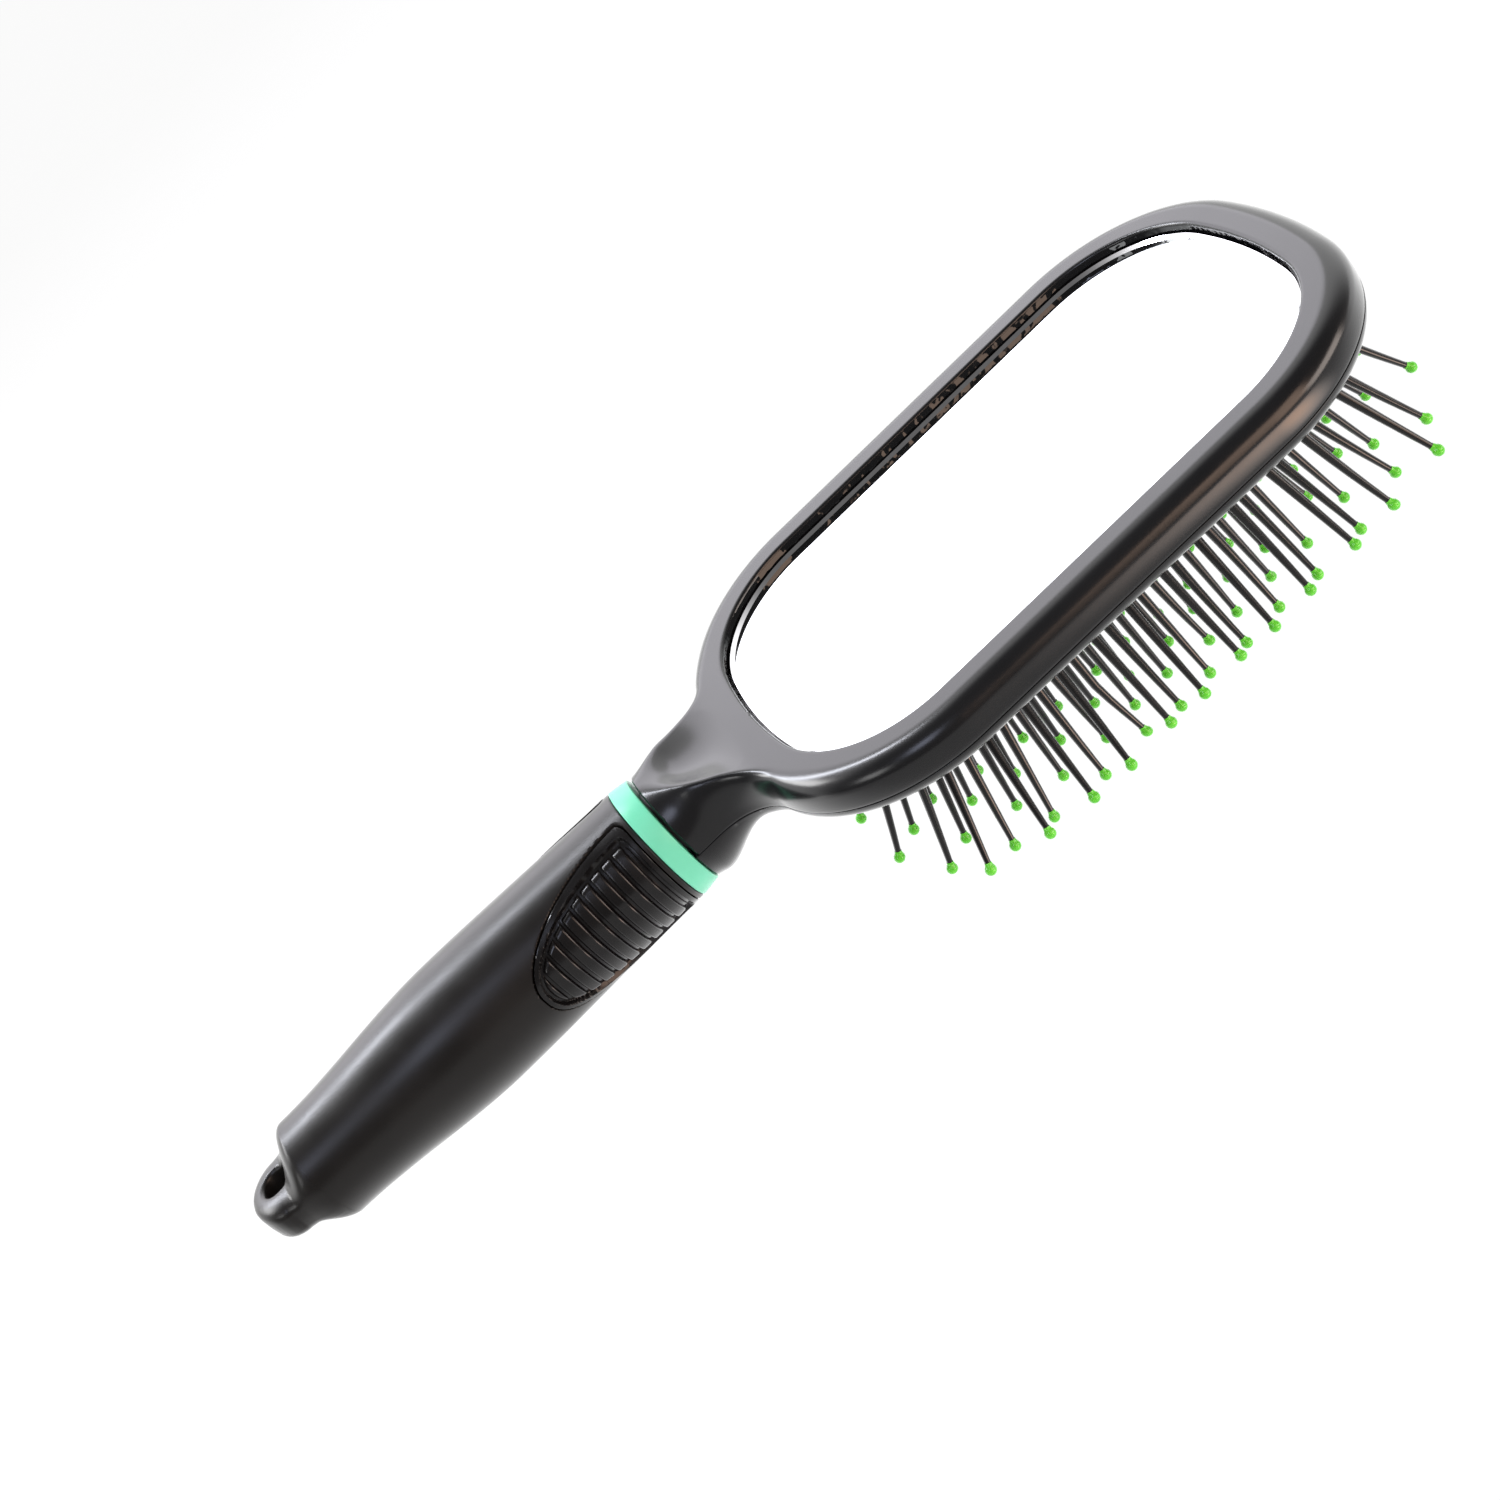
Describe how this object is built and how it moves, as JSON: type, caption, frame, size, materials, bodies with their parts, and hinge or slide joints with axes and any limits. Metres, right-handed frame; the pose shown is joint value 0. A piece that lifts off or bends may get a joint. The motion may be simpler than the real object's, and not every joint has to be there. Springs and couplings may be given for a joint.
{
  "type": "hairbrush with mirror",
  "caption": "Cushion paddle hairbrush with ball-tipped pins on one side, a recessed mirror on the other and a round handle with ribbed grip pads.",
  "frame": {"origin": "bottom centre of the brush's bounding box: the plane of the lowest pin tips, midway between head end and handle end", "axes": "+X from the handle to the end of the head, +Y across the head, +Z out of the mirror, away from the pins"},
  "size_m": [0.2484, 0.0874, 0.0525],
  "materials": {
    "shell": "satin black moulded plastic",
    "mirror": "silvered flat glass",
    "tape": "double-sided foam tape",
    "inner_plastic": "black moulded plastic",
    "collar": "gloss mint green",
    "handle": "satin black moulded plastic",
    "pad": "glossy black elastomer",
    "cushion_rubber": "soft black rubber",
    "pin": "glossy black nylon",
    "tip": "gloss green lacquer"
  },
  "bodies": {
    "brush_body": {"front_shell": "shell", "back_shell": "shell", "mirror_glass": "mirror", "mirror_tape": "tape", "cushion_retainer": "inner_plastic", "collar_ring": "collar", "handle_tube": "handle", "grip_pad_left": "pad", "grip_pad_right": "pad", "end_cap": "handle", "cushion": "cushion_rubber"},
    "pin_field": {"pin_row_1": "pin", "pin_row_2": "pin", "pin_row_3": "pin", "pin_row_4": "pin", "pin_row_5": "pin", "pin_row_6": "pin", "pin_row_7": "pin", "pin_row_8": "pin", "pin_row_9": "pin", "tip_row_1": "tip", "tip_row_2": "tip", "tip_row_3": "tip", "tip_row_4": "tip", "tip_row_5": "tip", "tip_row_6": "tip", "tip_row_7": "tip", "tip_row_8": "tip", "tip_row_9": "tip"}
  },
  "joints": [
    {"name": "cushion_press", "type": "slide", "parent": "brush_body", "child": "pin_field", "axis": [0, 0, 1], "range_m": [0, 0.002], "stiffness_N_per_m": 3000, "deforming": ["cushion"]}
  ]
}
